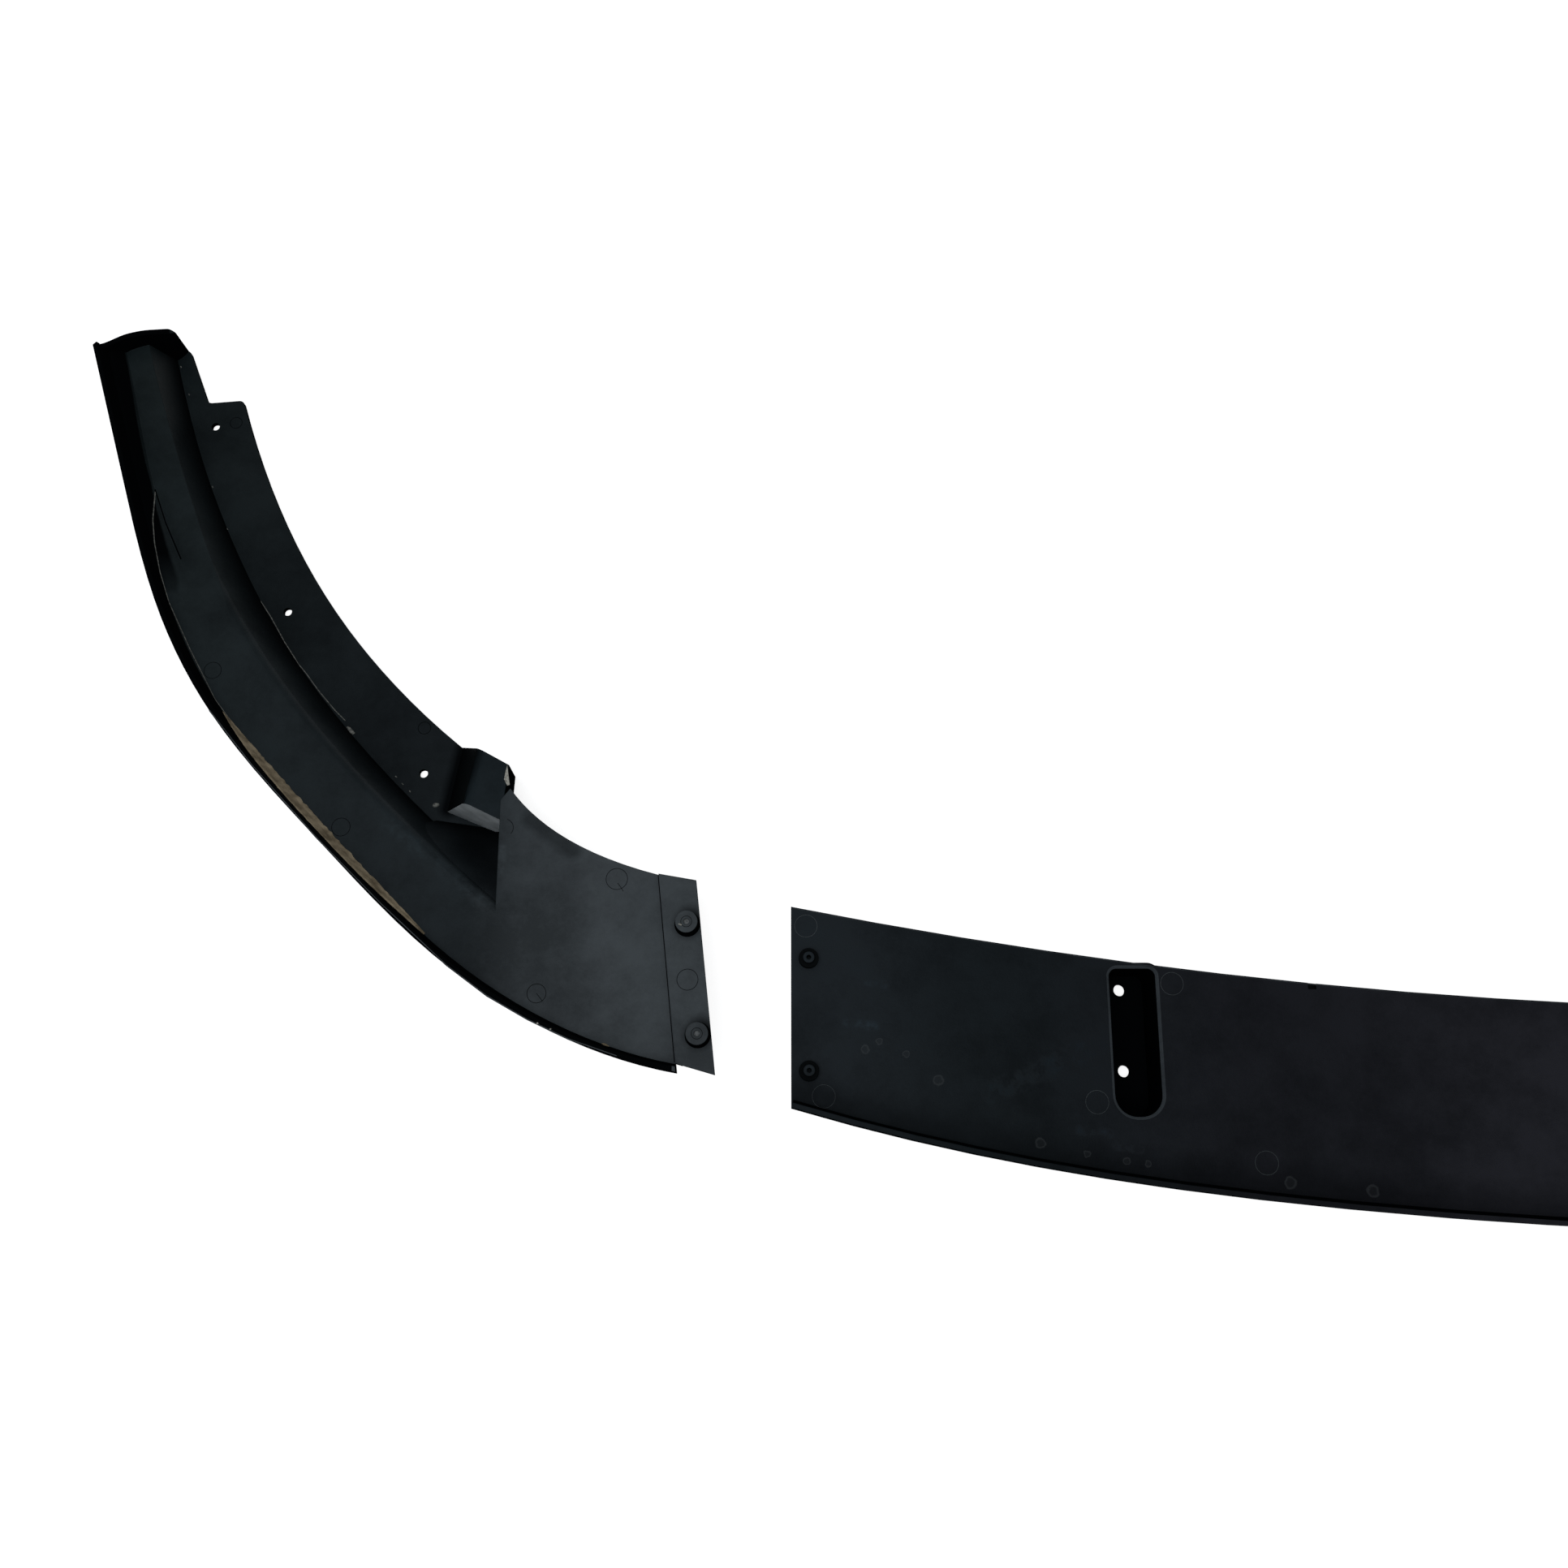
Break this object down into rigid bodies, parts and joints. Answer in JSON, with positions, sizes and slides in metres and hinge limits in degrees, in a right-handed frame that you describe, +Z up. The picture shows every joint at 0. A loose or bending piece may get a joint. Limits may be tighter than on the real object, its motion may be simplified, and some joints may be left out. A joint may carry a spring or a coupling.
{
  "type": "bumper spoiler",
  "caption": "Front bumper lip spoiler in bowed plate sections with a turned-up rim, screw wells, lap pegs and sockets, laid out with its hidden side up.",
  "frame": {"origin": "middle of the laid-out set at floor level", "axes": "+X across the car, +Y towards the car's rear, +Z up from the floor, with the spoiler's hidden side up"},
  "size_m": [1.8098, 0.4888, 0.0453],
  "materials": {
    "black_plastic": "fine moulded grain"
  },
  "bodies": {
    "root": {"left_corner_section": "black_plastic", "middle_section": "black_plastic", "right_corner_section": "black_plastic"}
  },
  "joints": []
}
